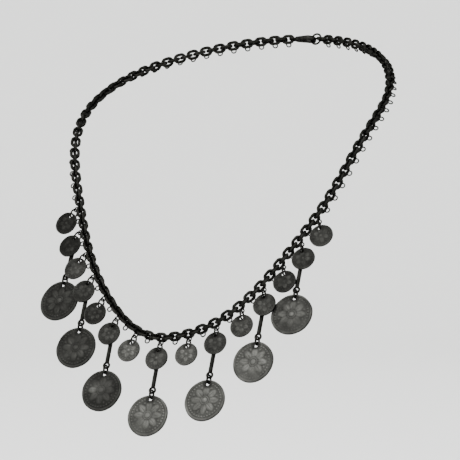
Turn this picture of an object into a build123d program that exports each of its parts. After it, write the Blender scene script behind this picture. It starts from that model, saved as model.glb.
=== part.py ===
from build123d import *
import math
import os

os.makedirs("parts", exist_ok=True)

# Coin necklace, held open as it is worn. Millimetres, +Z up, front towards -Y.
# The origin is on the chain's axis at the back of the neck. Left and right are the wearer's.

# Chain of oval links
link_pitch_wanted = 2.9  # the real pitch is the nearest that closes the loop
link_wire = 1.25
link_gap = 0.15  # between two neighbouring links along the chain
link_side_gap = 0.2  # between a link's sides and the wire that passes through it
link_roll = 45.0  # each link leans this far over on the skin, to alternate sides
slip = 3.4  # how far the whole necklace has slid round towards the wearer's right

# Eye soldered to the lower side of every second link
eye_wire = 0.55
eye_drop = 0.6  # from the chain's axis down towards the skin
eye_sink = 0.1  # how far the link's wire reaches over the eye's hole where they are soldered

# Rings that carry the small coins
coin_ring_wire = 0.7
coin_ring_radius = 1.85
ring_play = 0.3  # between a ring's wire and the edge of the hole it hangs in
seat_gap = 0.15  # where a ring, bar or coin hangs closest to what carries it

# Small coins
small_coin_count = 15
links_per_coin = 4
small_coin_diameter = 9.7
small_coin_thickness = 0.6
small_coin_relief = 0.15
small_coin_petal_count = 6
small_coin_bead_count = 20
small_coin_clear = 0.25  # between a small coin's back and the eyes that it lies over

# Drop bars on every second small coin's ring
bar_diameter = 1.7
bar_eye_wire = 0.9
bar_eye_hole = 1.4
bar_length = 15.8  # between the centres of its two eyes
drop_lean = 3.0  # bars and large coins hang this much steeper than the skin at their top

# Rings between bars and large coins
drop_ring_wire = 0.8
drop_ring_radius = 1.6

# Large coins
large_coin_diameter = 17.3
large_coin_thickness = 0.8
large_coin_relief = 0.2
large_coin_petal_count = 8
large_coin_bead_count = 36

# Every coin
coin_hole_margin = 0.6  # metal between the hole and the coin's edge
coin_hole_patch = 0.9  # plain metal round the hole, where the raised work stops
coin_edge_chamfer = 0.1

# Raised work of every coin: the rim as a share of the coin's radius, a bead as a share of the rim,
# the disc inside the beads, and the petals and the boss as shares of that disc
rim_share = 0.13
bead_share = 0.36
bead_clear_share = 0.5
disc_clear_share = 1.2
petal_place_share = 0.66
petal_length_share = 0.34
petal_width_share = 0.6  # of the room that a petal has at its middle
boss_share = 0.2

# How far a small coin's ring swings out square to the chain, from 0 (straight downhill) to 1
outward_share = 0.32

# Clasp and end ring at the back
end_ring_wire = 0.8
end_ring_radius = 2.2
clasp_length = 9.5
clasp_thickness = 1.6
clasp_hook_radius = 2.7
clasp_tail_radius = 1.5
clasp_rim = 1.2
clasp_opening = 4.6
clasp_eye_radius = 1.35
clasp_eye_wire = 0.9

# Route of the chain's axis over the wearer's left half, from the middle of the front to the nape, and
# the way the skin faces under it: turned from straight ahead, then tilted up, in degrees.
# The wearer's right half mirrors these rows.
route_rows = [
    # x, y, z, skin_turn, skin_tilt
    (0.0, -120.7, -121.0, 0.0, 25.0),
    (27.1, -115.2, -109.4, 3.0, 28.0),
    (44.0, -104.5, -88.1, 7.0, 36.0),
    (55.0, -92.4, -67.6, 14.0, 39.5),
    (64.0, -78.8, -43.2, 34.0, 52.0),
    (65.3, -58.4, -25.9, 62.0, 58.0),
    (57.7, -39.5, -15.2, 92.0, 55.0),
    (45.7, -23.4, -8.3, 125.0, 44.0),
    (25.0, -7.0, -2.2, 158.0, 32.0),
    (0.0, 0.0, 0.0, 180.0, 25.0),
]

left_points = [(x, y, z) for x, y, z, turn, tilt in route_rows]
right_points = [(-x, y, z) for x, y, z, turn, tilt in reversed(route_rows[1:-1])]
with BuildLine() as route:
    Spline(*left_points, *right_points, periodic=True)
loop = route.edges()[0]
loop_length = loop.length
row_spans = [math.dist(start, end) for start, end in zip(left_points, left_points[1:])]
row_places = [sum(row_spans[:i]) / sum(row_spans) * loop_length / 2 for i in range(len(left_points))]


def skin_normal(along):
    """Way the skin faces at a distance along the loop from the middle of the front"""
    row = max(i for i, place in enumerate(row_places[:-1]) if place <= abs(along))
    share = (abs(along) - row_places[row]) / (row_places[row + 1] - row_places[row])
    turn, tilt = [
        math.radians(start + (end - start) * share)
        for start, end in zip(route_rows[row][3:], route_rows[row + 1][3:])
    ]
    side = math.copysign(1, along)
    return Vector(side * math.sin(turn) * math.cos(tilt), -math.cos(turn) * math.cos(tilt), math.sin(tilt))


def chain_plane(along, reach=0.0):
    """Plane on the chain's axis at a distance from the middle coin, positive towards the wearer's left:
    x along the chain (or from one end to the other of a straight piece that reaches this far each
    way), z away from the skin, and -y out of the loop"""
    middle = (along - slip) % loop_length
    if middle > loop_length / 2:
        middle -= loop_length
    start = loop.position_at((middle - reach) % loop_length, position_mode=PositionMode.LENGTH)
    end = loop.position_at((middle + reach) % loop_length, position_mode=PositionMode.LENGTH)
    forward = loop.tangent_at(middle % loop_length, position_mode=PositionMode.LENGTH)
    if reach > 0:
        forward = (end - start).normalized()
    normal = skin_normal(middle)
    normal = (normal - forward * normal.dot(forward)).normalized()
    return Plane(origin=(start + end) / 2, x_dir=forward, z_dir=normal)


def rolled(plane, angle):
    """The same plane turned about its own x"""
    return plane.moved(Location((0, 0, 0), (angle, 0, 0)))


# Number of links and the pitch that closes the loop with the clasp and the end ring in it
end_ring_inside = end_ring_radius - end_ring_wire / 2
clasp_eye_inside = clasp_eye_radius - clasp_eye_wire / 2
clasp_reach = clasp_length + 2 * clasp_eye_inside
clasp_seat = math.sqrt(end_ring_inside**2 - (clasp_thickness / 2) ** 2) - link_gap
closure = end_ring_inside + clasp_seat - link_gap - clasp_rim + clasp_reach
right_links = 2 * round(((loop_length - closure) / link_pitch_wanted - 2) / 4)
left_links = right_links + 1
link_pitch = (loop_length - closure) / (left_links + right_links + 1)
link_inside_length = link_pitch + link_gap
link_inside_width = link_wire + 2 * link_side_gap
coin_pitch = links_per_coin * link_pitch

# One plain link and one link with its eye, lying on the chain's axis
link_arc_radius = (link_inside_width + link_wire) / 2
link_straight = (link_inside_length - link_inside_width) / 2
with BuildPart() as flat_link:
    with BuildLine() as link_line:
        Line((-link_straight, link_arc_radius), (link_straight, link_arc_radius))
        CenterArc((link_straight, 0), link_arc_radius, 90, -180)
        Line((link_straight, -link_arc_radius), (-link_straight, -link_arc_radius))
        CenterArc((-link_straight, 0), link_arc_radius, -90, -180)
    with BuildSketch(Plane(origin=(-link_straight, link_arc_radius, 0), z_dir=(1, 0, 0))):
        Circle(link_wire / 2)
    sweep()

with BuildPart() as plain_link:
    with Locations(Location((0, 0, 0), (-link_roll, 0, 0))):
        add(flat_link.part)

eye_hole_radius = coin_ring_wire / 2 + ring_play
eye_radius = eye_hole_radius + eye_wire / 2
link_bar_reach = link_arc_radius * math.cos(math.radians(link_roll)) + link_wire / 2
eye_reach = link_bar_reach - eye_sink + eye_hole_radius
with BuildPart() as eye_link:
    with Locations(Location((0, 0, 0), (link_roll, 0, 0))):
        add(flat_link.part)
    with Locations((0, -eye_reach, -eye_drop)):
        Torus(eye_radius, eye_wire / 2)


def chain_places(numbers):
    """Planes of the links with these numbers, counted from the middle of the coins"""
    return [chain_plane(number * link_pitch) for number in numbers]


with BuildPart() as chain_left:
    with Locations(*chain_places(range(2, left_links + 1, 2))):
        add(eye_link.part)
    with Locations(*chain_places(range(1, left_links + 1, 2))):
        add(plain_link.part)
chain_left.part.label = "chain_left"
export_step(chain_left.part, "parts/chain_left.step")

with BuildPart() as chain_right:
    with Locations(*chain_places(range(0, -right_links - 1, -2))):
        add(eye_link.part)
    with Locations(*chain_places(range(-1, -right_links - 1, -2))):
        add(plain_link.part)
chain_right.part.label = "chain_right"
export_step(chain_right.part, "parts/chain_right.step")

# End ring on the last left link, and the clasp closed between it and the last right link
end_ring_along = left_links * link_pitch + link_inside_length / 2 + end_ring_inside - link_gap
clasp_start = end_ring_along + clasp_seat - clasp_rim

with BuildPart() as end_ring:
    with Locations(rolled(chain_plane(end_ring_along, end_ring_radius), link_roll)):
        Torus(end_ring_radius, end_ring_wire / 2)
end_ring.part.label = "end_ring"
export_step(end_ring.part, "parts/end_ring.step")

with BuildPart() as flat_clasp:
    with BuildSketch(Plane.XY.offset(-clasp_thickness / 2)):
        with Locations((clasp_hook_radius, 0)):
            Circle(clasp_hook_radius)
        with Locations((clasp_length - clasp_tail_radius, 0)):
            Circle(clasp_tail_radius)
        make_hull()
        with Locations((clasp_rim + clasp_opening / 2, 0)):
            SlotOverall(clasp_opening, 2 * (clasp_hook_radius - clasp_rim), mode=Mode.SUBTRACT)
    extrude(amount=clasp_thickness)
    chamfer(flat_clasp.faces().sort_by(Axis.Z)[-1].outer_wire().edges(), clasp_thickness / 6)
    with Locations((clasp_length + clasp_eye_inside, 0)):
        Torus(clasp_eye_radius, clasp_eye_wire / 2)

clasp_half = clasp_reach / 2
clasp_middle = rolled(chain_plane(clasp_start + clasp_half, clasp_half), -link_roll)
with BuildPart() as clasp:
    with Locations(clasp_middle.moved(Location((-clasp_half, 0, 0)))):
        add(flat_clasp.part)
clasp.part.label = "clasp"
export_step(clasp.part, "parts/clasp.step")


def hole_radius(thickness, ring_wire):
    """Radius of a coin's hole, wide enough for its ring to pass aslant"""
    return ring_wire / 2 + ring_play + thickness / 4


def strike_coin(diameter, thickness, relief, petal_count, bead_count, ring_wire):
    """A coin with its hole's centre at the origin and its face towards +Z: a raised rim, a ring of beads
    and a rosette round a boss, with a plain patch round the hole"""
    radius = diameter / 2
    hole = hole_radius(thickness, ring_wire)
    centre = (0, coin_hole_margin + hole - radius)
    rim = radius * rim_share
    bead_radius = rim * bead_share
    bead_circle = radius - rim - bead_radius * (1 + bead_clear_share)
    disc = bead_circle - bead_radius * (1 + disc_clear_share)
    petal_room = disc * math.sin(math.pi / petal_count)
    with BuildPart() as coin:
        with BuildSketch(Plane.XY.offset(-thickness / 2)):
            with Locations(centre):
                Circle(radius)
        extrude(amount=thickness)
        chamfer(coin.edges().group_by(Axis.Z)[0], coin_edge_chamfer)
        with BuildSketch(Plane.XY.offset(thickness / 2)):
            with Locations(centre):
                Circle(radius)
                Circle(radius - rim, mode=Mode.SUBTRACT)
                with PolarLocations(bead_circle, bead_count):
                    Circle(bead_radius)
                with PolarLocations(disc * petal_place_share, petal_count):
                    Ellipse(disc * petal_length_share, petal_room * petal_width_share)
                Circle(disc * boss_share)
            Circle(hole + coin_hole_patch, mode=Mode.SUBTRACT)
        extrude(amount=relief)
        with BuildSketch(Plane.XY.offset(-thickness)):
            Circle(hole)
        extrude(amount=2 * thickness, mode=Mode.SUBTRACT)
    return coin.part


small_coin = strike_coin(
    small_coin_diameter,
    small_coin_thickness,
    small_coin_relief,
    small_coin_petal_count,
    small_coin_bead_count,
    coin_ring_wire,
)
large_coin = strike_coin(
    large_coin_diameter,
    large_coin_thickness,
    large_coin_relief,
    large_coin_petal_count,
    large_coin_bead_count,
    drop_ring_wire,
)

# A ring that hangs with its axis along x, from the middle of the wire at its top
with BuildPart() as coin_ring:
    with Locations(Location((0, -coin_ring_radius, 0), (0, 90, 0))):
        Torus(coin_ring_radius, coin_ring_wire / 2)
with BuildPart() as drop_ring:
    with Locations(Location((0, -drop_ring_radius, 0), (0, 90, 0))):
        Torus(drop_ring_radius, drop_ring_wire / 2)

# A drop bar that hangs from the centre of its upper eye
bar_eye_radius = (bar_eye_hole + bar_eye_wire) / 2
with BuildPart() as drop_bar:
    Torus(bar_eye_radius, bar_eye_wire / 2)
    with Locations((0, -bar_length)):
        Torus(bar_eye_radius, bar_eye_wire / 2)
    with BuildSketch(Plane.XZ.offset(bar_eye_radius)):
        Circle(bar_diameter / 2)
    extrude(amount=bar_length - 2 * bar_eye_radius)


def hanging_plane(origin, normal, direction):
    """Plane for a piece that hangs along a direction in the skin's plane, and faces away from the skin"""
    across = (direction * -1).cross(normal).normalized()
    return Plane(origin=origin, x_dir=across, z_dir=normal)


def seat_in_ring(ring_radius, ring_wire, offset):
    """How far below a ring's centre something with its edge this far from the ring's middle plane
    comes to rest on the ring's inside"""
    inside = ring_radius - ring_wire / 2 - seat_gap
    return math.sqrt(inside**2 - offset**2)


def export_at(piece, place, name):
    """Write one copy of a piece at its place, under its name"""
    with BuildPart() as placed:
        with Locations(place):
            add(piece)
    placed.part.label = name
    export_step(placed.part, f"parts/{name}.step")


# Along the swing: from a coin ring's top to the hole of the small coin in it, in front of its middle
small_coin_front = eye_wire / 2 + small_coin_clear + small_coin_thickness / 2
small_hole_drop = (
    coin_ring_radius
    + seat_in_ring(coin_ring_radius, coin_ring_wire, small_coin_front + small_coin_thickness / 2)
    + hole_radius(small_coin_thickness, coin_ring_wire)
)

# From a coin ring's top to the bar's wire in it, behind its middle, and from there to the bar's eye
bar_back = bar_eye_wire / 2
bar_drop = coin_ring_radius + math.sqrt(coin_ring_radius**2 - bar_back**2)
bar_eye_drop = (bar_eye_hole - coin_ring_wire) / 2 - seat_gap

# From the bar's lower eye to the top of the drop ring, and from there to the large coin's hole
drop_ring_drop = (bar_eye_hole - drop_ring_wire) / 2 - seat_gap
large_hole_drop = (
    drop_ring_radius
    + seat_in_ring(drop_ring_radius, drop_ring_wire, large_coin_thickness / 2)
    + hole_radius(large_coin_thickness, drop_ring_wire)
)
middle_coin = (small_coin_count + 1) // 2
lean = math.radians(drop_lean)

for number in range(1, small_coin_count + 1):
    at_link = chain_plane((number - middle_coin) * coin_pitch)
    skin = at_link.z_dir
    downhill = (Vector(0, 0, -1) + skin * skin.Z).normalized()
    swing = (downhill * (1 - outward_share) - at_link.y_dir * outward_share).normalized()

    ring_top = at_link.from_local_coords(Vector(0, -eye_reach, -eye_drop)) + swing * (ring_play - seat_gap)
    export_at(coin_ring.part, hanging_plane(ring_top, skin, swing), f"coin_ring_{number:02d}")
    small_hole = ring_top + swing * small_hole_drop + skin * small_coin_front
    export_at(small_coin, hanging_plane(small_hole, skin, swing), f"small_coin_{number:02d}")

    if number % 2 == 0:
        drop = number // 2
        hang = downhill * math.cos(lean) - skin * math.sin(lean)
        face = skin * math.cos(lean) + downhill * math.sin(lean)
        bar_top = ring_top + swing * bar_drop + downhill * bar_eye_drop - skin * bar_back
        export_at(drop_bar.part, hanging_plane(bar_top, face, hang), f"drop_bar_{drop}")
        drop_ring_top = bar_top + hang * (bar_length + drop_ring_drop)
        export_at(drop_ring.part, hanging_plane(drop_ring_top, face, hang), f"drop_ring_{drop}")
        large_hole = drop_ring_top + hang * large_hole_drop
        export_at(large_coin, hanging_plane(large_hole, face, hang), f"large_coin_{drop}")

print("loop length", round(loop_length, 1), "links", left_links + right_links + 1, "pitch", round(link_pitch, 4))
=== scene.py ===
import math
import random
from collections import namedtuple

import bmesh
import bpy
import numpy as np
from mathutils import Matrix, Vector, noise


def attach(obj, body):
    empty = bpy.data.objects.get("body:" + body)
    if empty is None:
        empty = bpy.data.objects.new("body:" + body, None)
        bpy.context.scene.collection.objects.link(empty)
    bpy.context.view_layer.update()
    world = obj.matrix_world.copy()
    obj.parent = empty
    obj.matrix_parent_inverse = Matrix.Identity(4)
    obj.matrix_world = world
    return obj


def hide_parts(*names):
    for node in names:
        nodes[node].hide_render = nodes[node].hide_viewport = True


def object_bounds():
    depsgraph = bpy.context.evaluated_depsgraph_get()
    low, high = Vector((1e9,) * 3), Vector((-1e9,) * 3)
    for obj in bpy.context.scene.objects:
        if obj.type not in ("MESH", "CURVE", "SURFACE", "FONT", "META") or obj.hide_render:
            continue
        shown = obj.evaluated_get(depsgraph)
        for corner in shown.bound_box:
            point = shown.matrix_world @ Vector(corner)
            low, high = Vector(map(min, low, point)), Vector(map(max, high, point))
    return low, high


bl_info = {
    "name": "Coin necklace finish",
    "version": (1, 0, 0),
    "blender": (4, 5, 0),
    "location": "View3D > Sidebar > Necklace",
    "description": "Struck coins, blackened metal and a studio for a coin necklace",
    "category": "Object",
}

BODY = "root"
FULL_TURN = 2 * math.pi

# Studio
CAMERA_REACH = 4.0  # how far the camera sees, in radii of the floor
PAPER_SEGMENTS = 96
FLOOR_RINGS = (0.25, 0.5, 0.75, 1.0)  # shares of the floor's radius
COVE_STEPS = 12
PAPER_ROUGHNESS = 0.9
PAPER_GLOSS = 0.1

# Metal
GRAZING_TINT = (0.4, 0.4, 0.4, 1.0)  # keeps the dark metal dark where it is seen aslant

# Blank of a coin
EDGE_ROUND = 0.22  # radius of the rounded edge, as a share of the field's thickness
EDGE_STEPS = 3
BACK_RINGS = 6
LEAST_FACE_RINGS = 8
HOLE_SEGMENTS = 40
PUNCH_DEPTH = 4  # in thicknesses of the coin
FLAT_SHARE = 0.01  # of the thickness: what lies this close to the back belongs to it
RIM_REACH = 0.9  # of the radius: what lies further out on the back is its edge, and not its hole

# Raised work of a coin, from 0 in the field to 1 on the highest parts. Each length is a share of the
# coin's radius, or of what its comment names.
RIM_SLOPE = 0.45  # of the rim's width
BEAD_RADIUS = 0.36  # of the rim's width
BEAD_INSET = 1.5  # from the rim to a bead's middle, in bead radii
BEAD_HEIGHT = 0.9
FLOWER_INSET = 2.2  # from a bead's middle to the flower's edge, in bead radii
PETAL_MIDDLE = 0.66  # from here on, of the flower's radius
PETAL_REACH = 0.34  # from a petal's middle to its tip
PETAL_SPREAD = 0.62  # of the room that a petal has
PETAL_TAPER = 0.25  # how much narrower it gets towards its tip
PETAL_HEIGHT = 0.85
VEIN_WIDTH = 0.14  # of the petal's half width
VEIN_DEPTH = 0.35
VEIN_ENDS = (-0.9, 0.4)  # where the vein fades in, along the petal from its tip
DOT_PLACE = 0.9
DOT_RADIUS = 0.075
DOT_HEIGHT = 0.6
BOSS_RADIUS = 0.2
BOSS_RING_PLACE = 0.27
BOSS_RING_WIDTH = 0.035
BOSS_RING_HEIGHT = 0.5
PLAIN_ROUND_HOLE = (1.05, 1.45)  # where the raised work starts again, in radii of the hole

# Wear of a coin, with painted light, shade and highlight on it
DRIFT = 50.0  # how far chance moves the noise of one coin
WEAR_SCALE = 1.7  # waves of the rubbed patches in the coin's radius
WEAR_LEVELS = (-0.3, 0.5)
PIT_SCALE = 9.0
FACE_LEVELS = (0.75, 0.98)  # where the face starts, up through the coin
BACK_LEVELS = (0.02, 0.25)  # where the back ends
RAISED_SHARE = 0.94  # of the relief, taken up by the raised work
PIT_SHARE = 0.05
FIELD_SHARE = 0.03
TOP_SHARE = 0.99
BACK_PIT_SHARE = 0.12
EDGE_WAVES = 2.2  # waves round the worn edge
EDGE_START = (0.8, 1.0)  # where the worn edge starts, in radii
SIDE_SHADE = 0.35  # the coin's side and back are as bright as raised work of this height
DARKENED_EDGE = (0.86, 0.97)  # where the darkening of the edge starts and ends, in radii
SHADED_HOLE = (1.6, 3.0)  # where the painted shade of the ring round the hole ends, in radii of the hole
HIGHLIGHT_STRETCH = 1.6  # how much wider than high a painted highlight is
SHARP_ANGLE = math.radians(50)
SEEDS_PER_KIND = 1000

# How clean and lit one coin is (its tarnish together with painted light and shade), how rubbed down and
# bent it is, and its painted highlight
CoinChart = namedtuple(
    "CoinChart", "clean wear bulge patch patch_side patch_rise patch_size", defaults=(0.0, 0.0, 0.0, 1.0)
)

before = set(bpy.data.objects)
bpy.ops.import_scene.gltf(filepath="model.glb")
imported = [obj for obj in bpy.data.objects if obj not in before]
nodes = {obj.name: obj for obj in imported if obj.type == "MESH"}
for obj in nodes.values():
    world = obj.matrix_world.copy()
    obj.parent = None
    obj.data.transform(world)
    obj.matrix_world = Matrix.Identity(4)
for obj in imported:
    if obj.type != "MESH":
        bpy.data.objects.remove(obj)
cad_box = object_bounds()
cad_middle = (cad_box[0] + cad_box[1]) / 2


class NecklaceStage(bpy.types.PropertyGroup):
    """Camera, floor and light of the studio"""

    view_turn: bpy.props.FloatProperty(
        name="View turn", description="How far the camera stands round towards the wearer's left",
        default=math.radians(26.5), subtype="ANGLE",
    )
    view_rise: bpy.props.FloatProperty(
        name="View rise", description="Angle of the camera above the level of the necklace",
        default=0.0, subtype="ANGLE",
    )
    view_distance: bpy.props.FloatProperty(
        name="View distance", description="From the camera to the middle of the necklace",
        default=2.4, unit="LENGTH",
    )
    view_width: bpy.props.FloatProperty(
        name="View width", description="Width that the picture takes in at the necklace",
        default=0.185, unit="LENGTH",
    )
    floor_drop: bpy.props.FloatProperty(
        name="Floor drop", description="From the lowest coin down to the floor",
        default=0.05, unit="LENGTH",
    )
    floor_radius: bpy.props.FloatProperty(
        name="Floor radius", description="Radius of the round floor before it curves up",
        default=4.0, unit="LENGTH",
    )
    wall_height: bpy.props.FloatProperty(
        name="Wall height", description="Height of the round backdrop over the floor",
        default=3.0, unit="LENGTH",
    )
    cove_radius: bpy.props.FloatProperty(
        name="Cove radius", description="Radius of the curve between floor and backdrop",
        default=1.2, unit="LENGTH",
    )
    paper: bpy.props.FloatVectorProperty(
        name="Paper", description="Colour of the floor and the backdrop", size=3,
        default=(0.78, 0.785, 0.775), subtype="COLOR", min=0.0, max=1.0,
    )
    sky_strength: bpy.props.FloatProperty(
        name="Sky strength", description="Even light that comes in over the backdrop", default=2.7,
    )
    key_power: bpy.props.FloatProperty(
        name="Key power", description="Power of the large soft light", default=34.0, unit="POWER",
    )
    key_size: bpy.props.FloatProperty(
        name="Key size", description="Side of the large soft light", default=1.2, unit="LENGTH",
    )
    key_distance: bpy.props.FloatProperty(
        name="Key distance", description="From the large soft light to the middle of the necklace",
        default=2.2, unit="LENGTH",
    )
    key_turn: bpy.props.FloatProperty(
        name="Key turn", description="How far the large soft light stands round towards the wearer's left",
        default=math.radians(-18.0), subtype="ANGLE",
    )
    key_rise: bpy.props.FloatProperty(
        name="Key rise", description="Angle of the large soft light above the level of the necklace",
        default=math.radians(52.0), subtype="ANGLE",
    )


class NecklaceCoins(bpy.types.PropertyGroup):
    """Relief and wear of the struck coins, and their tarnish with painted light, shade and highlights"""

    small_beads: bpy.props.IntProperty(
        name="Small coin beads", description="Beads round the rim of a small coin", default=20, min=3,
    )
    large_beads: bpy.props.IntProperty(
        name="Large coin beads", description="Beads round the rim of a large coin", default=36, min=3,
    )
    small_petals: bpy.props.IntProperty(
        name="Small coin petals", description="Petals of a small coin's rosette", default=6, min=3,
    )
    large_petals: bpy.props.IntProperty(
        name="Large coin petals", description="Petals of a large coin's rosette", default=8, min=3,
    )
    rim_share: bpy.props.FloatProperty(
        name="Rim", description="Width of the raised rim, as a share of the coin's radius",
        default=0.13, subtype="FACTOR", min=0.02, max=0.5,
    )
    relief_share: bpy.props.FloatProperty(
        name="Relief", description="Height of the raised work, as a share of the coin's whole thickness",
        default=0.2, subtype="FACTOR", min=0.02, max=0.5,
    )
    edge_wear: bpy.props.FloatProperty(
        name="Edge wear", description="How far a coin's edge is worn in, as a share of its radius",
        default=0.012, subtype="FACTOR", min=0.0, max=0.1,
    )
    # Brightness of each small coin: partly its tarnish, partly painted light and shade, brighter where a
    # coin faces the light and darker where it faces away
    small_clean_and_lit: bpy.props.FloatVectorProperty(
        name="Tarnish and painted light of small coins", size=15, min=0.0, max=1.0,
        description="How free of tarnish each small coin is, from the wearer's right",
        default=(0.0, 0.01, 0.24, 0.11, 0.04, 0.17, 0.62, 0.32, 0.59, 0.2, 0.27, 0.25, 0.05, 0.08, 0.15),
    )
    # Brightness of each large coin: partly its tarnish, partly painted light and shade, brighter where a
    # coin faces the light and darker where it faces away
    large_clean_and_lit: bpy.props.FloatVectorProperty(
        name="Tarnish and painted light of large coins", size=7, min=0.0, max=1.0,
        description="How free of tarnish each large coin is, from the wearer's right",
        default=(0.11, 0.14, 0.14, 0.7, 0.74, 0.8, 0.35),
    )
    small_wear: bpy.props.FloatVectorProperty(
        name="Worn small coins", size=15, min=0.0, max=1.0,
        description="How much of each small coin's raised work is rubbed away",
        default=(0.5, 0.6, 0.4, 0.6, 0.5, 0.5, 0.3, 0.6, 0.5, 0.6, 0.7, 0.5, 0.6, 0.5, 0.6),
    )
    large_wear: bpy.props.FloatVectorProperty(
        name="Worn large coins", size=7, min=0.0, max=1.0,
        description="How much of each large coin's raised work is rubbed away",
        default=(0.6, 0.6, 0.4, 0.7, 0.25, 0.85, 0.7),
    )
    small_bulge: bpy.props.FloatVectorProperty(
        name="Bent small coins", size=15, min=-0.03, max=0.03,
        description="How far each small coin's middle stands out, as a share of its radius",
        default=(0.0, 0.01, 0.02, 0.01, 0.02, 0.0, 0.015, 0.01, 0.0, 0.01, 0.015, 0.0, 0.01, 0.02, 0.01),
    )
    large_bulge: bpy.props.FloatVectorProperty(
        name="Bent large coins", size=7, min=-0.03, max=0.03,
        description="How far each large coin's middle stands out, as a share of its radius",
        default=(0.01, 0.01, 0.03, 0.015, 0.005, 0.0, 0.01),
    )
    # Painted highlight: a brighter spot on each large coin that stands for a glint of the light, with its
    # strength, place and size
    large_highlight: bpy.props.FloatVectorProperty(
        name="Painted highlight", size=7, min=0.0, max=1.0,
        description="How much cleaner a rubbed patch of each large coin is than the rest",
        default=(0.06, 0.08, 0.55, 0.12, 0.12, 0.0, 0.1),
    )
    large_highlight_side: bpy.props.FloatVectorProperty(
        name="Painted highlight side", size=7, min=-1.0, max=1.0,
        description="How far that patch lies to the wearer's left of the coin's middle, in radii",
        default=(-0.5, -0.4, -0.38, -0.1, 0.0, 0.0, 0.5),
    )
    large_highlight_rise: bpy.props.FloatVectorProperty(
        name="Painted highlight rise", size=7, min=-1.0, max=1.0,
        description="How far that patch lies over the coin's middle, in radii",
        default=(0.0, -0.4, 0.08, -0.12, 0.0, 0.0, 0.0),
    )
    large_highlight_size: bpy.props.FloatVectorProperty(
        name="Painted highlight size", size=7, min=0.01, max=1.0,
        description="Half the height of that patch, in radii",
        default=(0.35, 0.35, 0.26, 0.35, 0.2, 0.4, 0.3),
    )
    # Each coin is darker round its edge
    edge_darkening: bpy.props.FloatProperty(
        name="Edge darkening", description="How much darker a coin is round its edge",
        default=0.55, subtype="FACTOR", min=0.0, max=1.0,
    )
    # Painted shade of the ring: each coin is painted darker round its hole, under its ring
    hole_shade: bpy.props.FloatProperty(
        name="Hole shade", description="How much darker a coin is round its hole, where its ring rubs",
        default=0.85, subtype="FACTOR", min=0.0, max=1.0,
    )
    seed: bpy.props.IntProperty(name="Seed", description="Start of the chance in the wear", default=7)


class NecklaceFinish(bpy.types.PropertyGroup):
    """Colours of the metal"""

    chain_dark: bpy.props.FloatVectorProperty(
        name="Chain patina", description="Black patina of the chain, the rings and the bars", size=3,
        default=(0.008, 0.008, 0.007), subtype="COLOR", min=0.0, max=1.0,
    )
    chain_bright: bpy.props.FloatVectorProperty(
        name="Chain metal", description="Bare metal where the patina of the chain is rubbed thin", size=3,
        default=(0.04, 0.0395, 0.037), subtype="COLOR", min=0.0, max=1.0,
    )
    # The darkest and the brightest coin: between these colours lie each coin's tarnish and its painted
    # light and shade
    coin_dark: bpy.props.FloatVectorProperty(
        name="Coin patina", description="Colour of the most tarnished coin", size=3,
        default=(0.012, 0.012, 0.011), subtype="COLOR", min=0.0, max=1.0,
    )
    coin_bright: bpy.props.FloatVectorProperty(
        name="Coin metal", description="Colour of the cleanest coin", size=3,
        default=(0.066, 0.066, 0.061), subtype="COLOR", min=0.0, max=1.0,
    )


def direction(turn, rise):
    """Way from the necklace to something that stands this far round and this far up from its front"""
    return Vector((math.sin(turn) * math.cos(rise), -math.cos(turn) * math.cos(rise), math.sin(rise)))


def stand(item, turn, rise, distance):
    """Put a camera or a light this far from the middle of the necklace, and turn it to look there"""
    away = direction(turn, rise)
    item.location = cad_middle + away * distance
    item.rotation_mode = "QUATERNION"
    item.rotation_quaternion = (-away).to_track_quat("-Z", "Y")


def add_node(tree, kind, settings=None, **inputs):
    """A shader node with its settings and its inputs, each a value or another node's output"""
    node = tree.nodes.new(kind)
    for key, value in (settings or {}).items():
        setattr(node, key, value)
    for key, value in inputs.items():
        socket = node.inputs[key.replace("_", " ")]
        if isinstance(value, bpy.types.NodeSocket):
            tree.links.new(value, socket)
        else:
            socket.default_value = value
    return node


def new_material(name):
    """An empty node material and its surface shader"""
    material = bpy.data.materials.new(name)
    material.use_nodes = True
    tree = material.node_tree
    tree.nodes.clear()
    shader = tree.nodes.new("ShaderNodeBsdfPrincipled")
    output = tree.nodes.new("ShaderNodeOutputMaterial")
    tree.links.new(shader.outputs["BSDF"], output.inputs["Surface"])
    return material, tree, shader


def clouds(tree, scale, detail=3.0, roughness=0.55):
    """Soft noise over the object, scale in clouds per metre"""
    place = add_node(tree, "ShaderNodeTexCoord")
    texture = add_node(
        tree, "ShaderNodeTexNoise", Vector=place.outputs["Object"], Scale=scale, Detail=detail,
        Roughness=roughness,
    )
    return texture.outputs["Fac"]


def spread(tree, value, low, high, start=0.0, end=1.0):
    """A value that runs from start to end while the input goes from low to high"""
    node = tree.nodes.new("ShaderNodeMapRange")
    tree.links.new(value, node.inputs["Value"])
    node.inputs["From Min"].default_value = low
    node.inputs["From Max"].default_value = high
    node.inputs["To Min"].default_value = start
    node.inputs["To Max"].default_value = end
    return node.outputs["Result"]


def multiply(tree, first, second):
    """A value times another value or a number"""
    node = add_node(tree, "ShaderNodeMath", {"operation": "MULTIPLY"})
    for socket, value in zip(node.inputs, (first, second)):
        if isinstance(value, bpy.types.NodeSocket):
            tree.links.new(value, socket)
        else:
            socket.default_value = value
    return node.outputs["Value"]


def blend_colours(tree, factor, low, high):
    """A colour between two colours"""
    node = add_node(tree, "ShaderNodeMix", {"data_type": "RGBA"})
    tree.links.new(factor, node.inputs["Factor"])
    for socket, colour in zip([s for s in node.inputs if s.type == "RGBA"], (low, high)):
        socket.default_value = (*colour, 1.0)
    return next(s for s in node.outputs if s.type == "RGBA")


def make_metal(tree, shader, grain, strength, depth):
    """Bare metal with the fine bumps of its grain"""
    shader.inputs["Metallic"].default_value = 1.0
    shader.inputs["Specular Tint"].default_value = GRAZING_TINT
    bump = add_node(tree, "ShaderNodeBump", Height=grain, Strength=strength, Distance=depth)
    tree.links.new(bump.outputs["Normal"], shader.inputs["Normal"])


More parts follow.
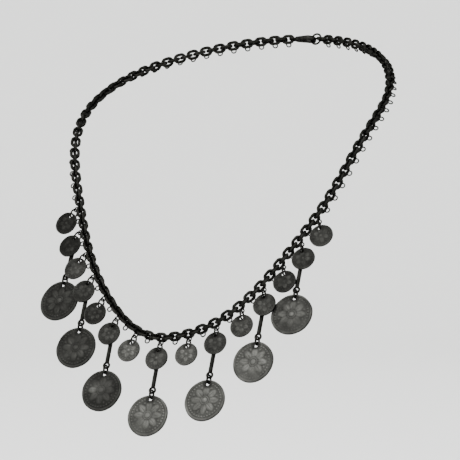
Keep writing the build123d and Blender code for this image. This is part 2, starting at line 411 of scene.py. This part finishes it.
def blackened_metal(name, stain_scale, grain_scale, rubbed):
    """Metal under a black patina that is rubbed thin in small places"""
    finish = bpy.context.scene.necklace_finish
    material, tree, shader = new_material(name)
    stains = clouds(tree, stain_scale)
    grain = clouds(tree, grain_scale, detail=4.0)
    stained = spread(tree, stains, low=0.42, high=0.68)
    grained = spread(tree, grain, low=0.35, high=0.7)
    thin = multiply(tree, multiply(tree, stained, grained), rubbed)
    tone = blend_colours(tree, thin, finish.chain_dark, finish.chain_bright)
    tree.links.new(tone, shader.inputs["Base Color"])
    roughness = spread(tree, grain, low=0.3, high=0.75, start=0.5, end=0.3)
    tree.links.new(roughness, shader.inputs["Roughness"])
    make_metal(tree, shader, grain, strength=0.35, depth=0.00004)
    return material


def coin_metal(name, stain_scale, grain_scale):
    """Old coin metal: darker or cleaner from coin to coin, partly from tarnish and partly from painted
    light and shade, with painted shade round the hole and a painted highlight, lighter on the raised work
    than in the hollows, with soft stains and a fine grain"""
    finish = bpy.context.scene.necklace_finish
    material, tree, shader = new_material(name)
    height = add_node(tree, "ShaderNodeAttribute", {"attribute_name": "relief"}).outputs["Fac"]
    # Tarnish together with painted light, shade and highlight, for every point
    clean = add_node(tree, "ShaderNodeAttribute", {"attribute_name": "clean"}).outputs["Fac"]
    stains = clouds(tree, stain_scale)
    grain = clouds(tree, grain_scale, detail=4.0, roughness=0.65)
    raised = spread(tree, height, low=0.0, high=1.0, start=0.72, end=1.35)
    stained = spread(tree, stains, low=0.3, high=0.65, start=0.75, end=1.15)
    grained = spread(tree, grain, low=0.3, high=0.7, start=0.82, end=1.18)
    shade = multiply(tree, multiply(tree, raised, stained), grained)
    tone = blend_colours(tree, clean, finish.coin_dark, finish.coin_bright)
    colour = add_node(tree, "ShaderNodeVectorMath", {"operation": "SCALE"}, Vector=tone, Scale=shade)
    tree.links.new(colour.outputs["Vector"], shader.inputs["Base Color"])
    roughness = spread(tree, shade, low=0.6, high=1.4, start=0.58, end=0.4)
    tree.links.new(roughness, shader.inputs["Roughness"])
    make_metal(tree, shader, grain, strength=0.4, depth=0.00005)
    return material


def shade_smooth(mesh):
    """Round off how the faces of a mesh take the light"""
    for polygon in mesh.polygons:
        polygon.use_smooth = True


def dress(names, material):
    """Give CAD nodes a finish"""
    for name in names:
        node = nodes[name]
        for slot in node.material_slots:
            slot.material = material
        shade_smooth(node.data)


def numbered(start):
    """CAD nodes of one kind, in order"""
    return sorted(name for name in nodes if name.startswith(start))


def mesh_points(mesh):
    """Points of a mesh, a row of x, y and z for each"""
    points = np.empty(len(mesh.vertices) * 3, np.float32)
    mesh.vertices.foreach_get("co", points)
    return points.reshape(-1, 3).astype(float)


def finished_mesh(name, shape):
    """The mesh of a shape that is ready"""
    mesh = bpy.data.meshes.new(name)
    shape.to_mesh(mesh)
    shape.free()
    return mesh


def quarter_turn(steps, first=0):
    """Sine and cosine at even steps of a quarter turn, from the first of them on"""
    angles = [math.pi / 2 * i / steps for i in range(first, steps + 1)]
    return [(math.sin(angle), math.cos(angle)) for angle in angles]


def turned_mesh(name, profile, segments, closed):
    """Mesh of a profile of radii and heights that is turned round z, with a point in the middle of its
    first ring and, if it is closed, of its last one"""
    shape = bmesh.new()
    first_pole = shape.verts.new((0.0, 0.0, profile[0][1]))
    if closed:
        last_pole = shape.verts.new((0.0, 0.0, profile[-1][1]))
    turns = [FULL_TURN * i / segments for i in range(segments)]
    rings = [
        [shape.verts.new((radius * math.sin(turn), radius * math.cos(turn), height)) for turn in turns]
        for radius, height in profile
    ]
    for i in range(segments):
        after = (i + 1) % segments
        shape.faces.new((first_pole, rings[0][after], rings[0][i]))
        if closed:
            shape.faces.new((last_pole, rings[-1][i], rings[-1][after]))
        for inner, outer in zip(rings, rings[1:]):
            shape.faces.new((inner[i], inner[after], outer[after], outer[i]))
    bmesh.ops.recalc_face_normals(shape, faces=shape.faces)
    return finished_mesh(name, shape)


class CoinPlace:
    """Where a coin of the frame lies and how large it is, read from its own mesh"""

    def __init__(self, name):
        mesh = nodes[name].data
        points = mesh_points(mesh)
        flat = np.array(max(mesh.polygons, key=lambda polygon: polygon.area).normal)
        heights = points @ flat
        # The raised work holds most of the points, so they are nearer to the face than to the back
        if heights.mean() < (heights.min() + heights.max()) / 2:
            flat = -flat
            heights = -heights
        self.thickness = float(np.ptp(heights))
        first = np.cross(flat, (0.0, 1.0, 0.0))
        first /= np.linalg.norm(first)
        second = np.cross(flat, first)
        plane = np.stack([points @ first, points @ second], 1)
        centre = (plane.min(0) + plane.max(0)) / 2
        self.radius = float(np.linalg.norm(plane - centre, axis=1).max())
        back = plane[heights < heights.min() + self.thickness * FLAT_SHARE]
        hole = back[np.linalg.norm(back - centre, axis=1) < self.radius * RIM_REACH]
        hole_centre = (hole.min(0) + hole.max(0)) / 2
        self.hole_radius = float(np.linalg.norm(hole - hole_centre, axis=1).mean())
        self.hole_reach = float(np.linalg.norm(hole_centre - centre))
        across = hole_centre - centre
        up = (first * across[0] + second * across[1]) / self.hole_reach
        side = np.cross(up, flat)
        base = first * centre[0] + second * centre[1] + flat * heights.min()
        self.matrix = Matrix([
            [side[i], up[i], flat[i], base[i]] for i in range(3)
        ] + [[0.0, 0.0, 0.0, 1.0]])


def blank_profile(place, ring_step, relief_share):
    """Radius and height of each ring of a blank, from the middle of its face over its edge to its back"""
    field = place.thickness * (1 - relief_share)
    edge = field * EDGE_ROUND
    flat = place.radius - edge
    face_rings = max(LEAST_FACE_RINGS, round(flat / ring_step))
    profile = [(flat * i / face_rings, field) for i in range(1, face_rings + 1)]
    for sine, cosine in quarter_turn(EDGE_STEPS, first=1):
        profile.append((place.radius - edge * (1 - sine), field - edge * (1 - cosine)))
    for sine, cosine in quarter_turn(EDGE_STEPS):
        profile.append((place.radius - edge * (1 - cosine), edge * (1 - sine)))
    profile += [(flat * (1 - i / BACK_RINGS), 0.0) for i in range(1, BACK_RINGS)]
    return profile


def punch_mesh(place):
    """The round punch that cuts a coin's hole"""
    shape = bmesh.new()
    bmesh.ops.create_cone(
        shape, cap_ends=True, segments=HOLE_SEGMENTS, radius1=place.hole_radius,
        radius2=place.hole_radius, depth=place.thickness * PUNCH_DEPTH,
    )
    return finished_mesh("coin_punch", shape)


def blank_coin(place, segments, ring_step, relief_share):
    """A flat coin on its back at z = 0 with its hole cut through"""
    profile = blank_profile(place, ring_step, relief_share)
    disc = turned_mesh("coin_blank", profile, segments, closed=True)
    punch = punch_mesh(place)
    coin = bpy.data.objects.new("coin_blank", disc)
    cutter = bpy.data.objects.new("coin_punch", punch)
    cutter.location = (0.0, place.hole_reach, 0.0)
    for item in (coin, cutter):
        bpy.context.scene.collection.objects.link(item)
    cut = coin.modifiers.new("hole", "BOOLEAN")
    cut.operation = "DIFFERENCE"
    cut.object = cutter
    bpy.context.view_layer.update()
    depsgraph = bpy.context.evaluated_depsgraph_get()
    blank = bpy.data.meshes.new_from_object(coin.evaluated_get(depsgraph))
    for item in (coin, cutter):
        bpy.data.objects.remove(item)
    for item in (disc, punch):
        bpy.data.meshes.remove(item)
    return blank


def smooth_step(value, low, high):
    """0 below low, 1 above high, and a smooth rise between them"""
    share = np.clip((value - low) / (high - low), 0.0, 1.0)
    return share * share * (3 - 2 * share)


def dome(distance):
    """Height of a round knob at a distance from its middle, both as shares of its size"""
    return np.sqrt(np.clip(1 - distance * distance, 0.0, 1.0))


def turn_from_nearest(turn, count, first=0.0):
    """Angle from the nearest of so many even places round a coin, the first of them so many steps round"""
    return ((turn * count / FULL_TURN + (0.5 - first)) % 1 - 0.5) * FULL_TURN / count


def relief_height(unit, to_hole, beads, petals, rim_share):
    """Height of the raised work at points of a coin's face that lie this far from the hole"""
    reach = np.hypot(unit[:, 0], unit[:, 1])
    turn = np.arctan2(unit[:, 0], unit[:, 1])
    rim = 1 - rim_share
    height = smooth_step(reach, rim, rim + rim_share * RIM_SLOPE)

    bead_radius = rim_share * BEAD_RADIUS
    bead_circle = rim - bead_radius * BEAD_INSET
    bead_across = turn_from_nearest(turn, beads) * bead_circle
    bead = dome(np.hypot(bead_across, reach - bead_circle) / bead_radius)
    height = np.maximum(height, bead * BEAD_HEIGHT)

    flower = bead_circle - bead_radius * FLOWER_INSET
    petal_turn = turn_from_nearest(turn, petals)
    along = (reach * np.cos(petal_turn) / flower - PETAL_MIDDLE) / PETAL_REACH
    across = reach * np.sin(petal_turn) / flower / (PETAL_SPREAD * math.sin(math.pi / petals))
    petal = dome(np.hypot(along, across * (1 + PETAL_TAPER * along)))
    vein = np.exp(-((across / VEIN_WIDTH) ** 2)) * smooth_step(-along, *VEIN_ENDS)
    height = np.maximum(height, petal * (PETAL_HEIGHT - VEIN_DEPTH * vein))

    gap_turn = turn_from_nearest(turn, petals, first=0.5)
    dot_along = reach * np.cos(gap_turn) - flower * DOT_PLACE
    dot = dome(np.hypot(reach * np.sin(gap_turn), dot_along) / (flower * DOT_RADIUS))
    height = np.maximum(height, dot * DOT_HEIGHT)

    boss = dome(reach / (flower * BOSS_RADIUS))
    ring = np.exp(-(((reach - flower * BOSS_RING_PLACE) / (flower * BOSS_RING_WIDTH)) ** 2))
    height = np.maximum(height, np.maximum(boss, ring * BOSS_RING_HEIGHT))
    return height * smooth_step(to_hole, *PLAIN_ROUND_HOLE)


def noise_at(points, drift):
    """Smooth chance from about -1 to 1 at every point"""
    return np.array([noise.noise(Vector(point) + drift) for point in points])


def struck_lift(height, pits, face, back, relief):
    """How far every point of a blank is lifted: the face to its raised work, the back to its pits"""
    lift = (height * RAISED_SHARE + pits * PIT_SHARE + FIELD_SHARE) * relief * face
    sink = (pits + 1) / 2 * relief * BACK_PIT_SHARE * back
    return np.clip(lift, 0.0, relief * TOP_SHARE) + np.clip(sink, 0.0, relief)


def edge_left(unit, reach, drift, edge_wear):
    """How much of its distance from the middle every point of a coin keeps where the edge is worn in"""
    turn = np.arctan2(unit[:, 0], unit[:, 1])
    round_edge = np.stack([np.cos(turn), np.sin(turn), np.zeros(len(turn))], 1)
    dips = np.clip(noise_at(round_edge * EDGE_WAVES, drift) + 0.5, 0.0, 1.0)
    return 1 - edge_wear * dips * smooth_step(reach, *EDGE_START)


def clean_and_lit_points(unit, reach, to_hole, face, chart, settings):
    """How clean and lit every point of a coin is: its tarnish together with painted light and shade from
    coin to coin, less at its edge, with painted shade of its ring round its hole, and more in its painted
    highlight"""
    # Painted highlight: a brighter spot on the coin's face
    highlight_up = (unit[:, 1] - chart.patch_rise) / chart.patch_size
    highlight_across = (unit[:, 0] - chart.patch_side) / (chart.patch_size * HIGHLIGHT_STRETCH)
    patch = chart.patch * np.exp(-highlight_up ** 2 - highlight_across ** 2) * face
    # Darker round the edge
    undarkened_edge = 1 - settings.edge_darkening * smooth_step(reach, *DARKENED_EDGE)
    # Painted shade under the ring, round the hole
    unshaded_hole = 1 - settings.hole_shade * (1 - smooth_step(to_hole, *SHADED_HOLE))
    return np.clip((chart.clean * undarkened_edge + patch) * unshaded_hole, 0.0, 1.0)


def strike(node, blank, place, beads, petals, chart, settings, seed):
    """One struck and worn coin in the place of its CAD node"""
    chance = random.Random(seed)
    drift = Vector([chance.uniform(-DRIFT, DRIFT) for axis in range(3)])
    points = mesh_points(blank)
    unit = points / place.radius
    reach = np.hypot(unit[:, 0], unit[:, 1])
    to_hole = np.hypot(points[:, 0], points[:, 1] - place.hole_reach) / place.hole_radius
    field = place.thickness * (1 - settings.relief_share)
    level = np.clip(points[:, 2] / field, 0.0, 1.0)
    face = smooth_step(level, *FACE_LEVELS)
    back = 1 - smooth_step(level, *BACK_LEVELS)

    worn = chart.wear * smooth_step(noise_at(unit * WEAR_SCALE, drift), *WEAR_LEVELS)
    height = relief_height(unit, to_hole, beads, petals, settings.rim_share) * (1 - worn)
    pits = noise_at(unit * PIT_SCALE, -drift)
    points[:, 2] += struck_lift(height, pits, face, back, place.thickness - field)
    points[:, :2] *= edge_left(unit, reach, drift, settings.edge_wear)[:, None]
    # The middle stands out, and the coin stays where it is at the distance of its hole
    points[:, 2] += chart.bulge * place.radius * (1 - (reach * place.radius / place.hole_reach) ** 2)
    matrix = np.array(place.matrix)
    points = points @ matrix[:3, :3].T + matrix[:3, 3]

    mesh = blank.copy()
    mesh.name = node + "_struck"
    mesh.vertices.foreach_set("co", points.astype(np.float32).ravel())
    raised = height * face + SIDE_SHADE * (1 - face)
    # Tarnish of every point, with painted light and shade, painted shade round the hole and a painted
    # highlight
    clean = clean_and_lit_points(unit, reach, to_hole, face, chart, settings)
    for name, values in (("relief", raised), ("clean", clean)):
        attribute = mesh.attributes.new(name, "FLOAT", "POINT")
        attribute.data.foreach_set("value", values.astype(np.float32))
    mesh.update()
    shade_smooth(mesh)
    mesh.set_sharp_from_angle(angle=SHARP_ANGLE)
    coin = bpy.data.objects.new(mesh.name, mesh)
    bpy.context.scene.collection.objects.link(coin)
    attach(coin, BODY)
    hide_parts(node)
    return coin


def strike_all(start, material, beads, petals, charts, ring_step, segments_per_bead):
    """Every coin of one kind, with the chart of each"""
    settings = bpy.context.scene.necklace_coins
    names = numbered(start)
    places = [CoinPlace(name) for name in names]
    blank = blank_coin(places[0], beads * segments_per_bead, ring_step, settings.relief_share)
    blank.materials.clear()
    blank.materials.append(material)
    for index, (name, place) in enumerate(zip(names, places)):
        seed = settings.seed * SEEDS_PER_KIND + index
        coin = strike(name, blank, place, beads, petals, charts[index], settings, seed)
    bpy.data.meshes.remove(blank)


class NECKLACE_OT_stage(bpy.types.Operator):
    """Set up the camera, the round paper backdrop and the soft light"""

    bl_idname = "necklace.stage"
    bl_label = "Studio"

    def execute(self, context):
        settings = context.scene.necklace_stage
        self.place_camera(context, settings)
        self.lay_paper(context, settings)
        self.hang_lights(context, settings)
        return {"FINISHED"}

    def place_camera(self, context, settings):
        """Camera at the height of the middle of the necklace, turned to its place"""
        data = bpy.data.cameras.new("camera")
        camera = bpy.data.objects.new("camera", data)
        context.scene.collection.objects.link(camera)
        stand(camera, settings.view_turn, settings.view_rise, settings.view_distance)
        data.lens = data.sensor_width * settings.view_distance / settings.view_width
        data.clip_end = settings.floor_radius * CAMERA_REACH
        context.scene.camera = camera

    def lay_paper(self, context, settings):
        """A round floor that curves up into a wall on every side"""
        floor, cove = settings.floor_radius, settings.cove_radius
        profile = [(floor * share, 0.0) for share in FLOOR_RINGS]
        for sine, cosine in quarter_turn(COVE_STEPS, first=1):
            profile.append((floor + cove * sine, cove * (1 - cosine)))
        profile.append((floor + cove, settings.wall_height))
        mesh = turned_mesh("studio_paper", profile, PAPER_SEGMENTS, closed=False)
        shade_smooth(mesh)
        material, tree, shader = new_material("studio_paper")
        shader.inputs["Base Color"].default_value = (*settings.paper, 1.0)
        shader.inputs["Roughness"].default_value = PAPER_ROUGHNESS
        shader.inputs["Specular IOR Level"].default_value = PAPER_GLOSS
        mesh.materials.append(material)
        sheet = bpy.data.objects.new("studio_paper", mesh)
        sheet.location = (cad_middle.x, cad_middle.y, cad_box[0].z - settings.floor_drop)
        context.scene.collection.objects.link(sheet)

    def hang_lights(self, context, settings):
        """Even light all round and one large soft light high in front"""
        world = bpy.data.worlds.new("studio_sky")
        world.use_nodes = True
        sky = world.node_tree.nodes["Background"]
        sky.inputs["Color"].default_value = (1.0, 1.0, 1.0, 1.0)
        sky.inputs["Strength"].default_value = settings.sky_strength
        context.scene.world = world
        light = bpy.data.lights.new("key_light", "AREA")
        light.shape = "SQUARE"
        light.size = settings.key_size
        light.energy = settings.key_power
        lamp = bpy.data.objects.new("key_light", light)
        stand(lamp, settings.key_turn, settings.key_rise, settings.key_distance)
        context.scene.collection.objects.link(lamp)


class NECKLACE_OT_chain(bpy.types.Operator):
    """Blacken the two stretches of chain"""

    bl_idname = "necklace.chain"
    bl_label = "Chain"

    def execute(self, context):
        metal = blackened_metal("chain_black", stain_scale=900.0, grain_scale=6000.0, rubbed=0.8)
        dress(numbered("chain_"), metal)
        return {"FINISHED"}


class NECKLACE_OT_rings(bpy.types.Operator):
    """Blacken the rings between chain, bars and coins"""

    bl_idname = "necklace.rings"
    bl_label = "Rings"

    def execute(self, context):
        metal = blackened_metal("ring_black", stain_scale=1300.0, grain_scale=7000.0, rubbed=0.9)
        dress(numbered("coin_ring_") + numbered("drop_ring_") + ["end_ring"], metal)
        return {"FINISHED"}


class NECKLACE_OT_bars(bpy.types.Operator):
    """Blacken the drop bars"""

    bl_idname = "necklace.bars"
    bl_label = "Drop bars"

    def execute(self, context):
        metal = blackened_metal("bar_black", stain_scale=700.0, grain_scale=5000.0, rubbed=0.6)
        dress(numbered("drop_bar_"), metal)
        return {"FINISHED"}


class NECKLACE_OT_clasp(bpy.types.Operator):
    """Blacken the clasp"""

    bl_idname = "necklace.clasp"
    bl_label = "Clasp"

    def execute(self, context):
        metal = blackened_metal("clasp_black", stain_scale=500.0, grain_scale=4000.0, rubbed=1.0)
        dress(["clasp"], metal)
        return {"FINISHED"}


class NECKLACE_OT_small_coins(bpy.types.Operator):
    """Strike the small coins"""

    bl_idname = "necklace.small_coins"
    bl_label = "Small coins"

    def execute(self, context):
        coins = context.scene.necklace_coins
        metal = coin_metal("small_coin_metal", stain_scale=320.0, grain_scale=5000.0)
        charts = [CoinChart(*row) for row in zip(coins.small_clean_and_lit, coins.small_wear, coins.small_bulge)]
        strike_all(
            "small_coin_", metal, coins.small_beads, coins.small_petals, charts,
            ring_step=0.00014, segments_per_bead=8,
        )
        return {"FINISHED"}


class NECKLACE_OT_large_coins(bpy.types.Operator):
    """Strike the large coins"""

    bl_idname = "necklace.large_coins"
    bl_label = "Large coins"

    def execute(self, context):
        coins = context.scene.necklace_coins
        metal = coin_metal("large_coin_metal", stain_scale=260.0, grain_scale=4500.0)
        rows = zip(
            coins.large_clean_and_lit, coins.large_wear, coins.large_bulge, coins.large_highlight,
            coins.large_highlight_side, coins.large_highlight_rise, coins.large_highlight_size,
        )
        charts = [CoinChart(*row) for row in rows]
        strike_all(
            "large_coin_", metal, coins.large_beads, coins.large_petals, charts,
            ring_step=0.00015, segments_per_bead=7,
        )
        return {"FINISHED"}


class NECKLACE_PT_panel(bpy.types.Panel):
    """Sizes, colours and steps of the necklace's finish"""

    bl_idname = "NECKLACE_PT_panel"
    bl_label = "Coin necklace"
    bl_space_type = "VIEW_3D"
    bl_region_type = "UI"
    bl_category = "Necklace"

    def draw(self, context):
        layout = self.layout
        for step in STEPS:
            layout.operator(step.bl_idname, text=step.bl_label)
        for group in ("necklace_stage", "necklace_coins", "necklace_finish"):
            settings = getattr(context.scene, group)
            box = layout.box()
            for name in settings.bl_rna.properties.keys():
                if name not in ("rna_type", "name"):
                    box.prop(settings, name)


STEPS = (
    NECKLACE_OT_stage,
    NECKLACE_OT_chain,
    NECKLACE_OT_rings,
    NECKLACE_OT_bars,
    NECKLACE_OT_clasp,
    NECKLACE_OT_small_coins,
    NECKLACE_OT_large_coins,
)
GROUPS = {
    "necklace_stage": NecklaceStage,
    "necklace_coins": NecklaceCoins,
    "necklace_finish": NecklaceFinish,
}


def register():
    """Make the settings, the steps and the panel known"""
    for name, group in GROUPS.items():
        bpy.utils.register_class(group)
        setattr(bpy.types.Scene, name, bpy.props.PointerProperty(type=group))
    for step in STEPS:
        bpy.utils.register_class(step)
    bpy.utils.register_class(NECKLACE_PT_panel)


def unregister():
    """Take the panel, the steps and the settings away again"""
    bpy.utils.unregister_class(NECKLACE_PT_panel)
    for step in reversed(STEPS):
        bpy.utils.unregister_class(step)
    for name, group in reversed(GROUPS.items()):
        delattr(bpy.types.Scene, name)
        bpy.utils.unregister_class(group)


def main():
    """Make the whole scene"""
    register()
    bpy.ops.necklace.stage()
    bpy.ops.necklace.chain()
    bpy.ops.necklace.rings()
    bpy.ops.necklace.bars()
    bpy.ops.necklace.clasp()
    bpy.ops.necklace.small_coins()
    bpy.ops.necklace.large_coins()
    bpy.context.view_layer.update()


if __name__ == "__main__":
    main()
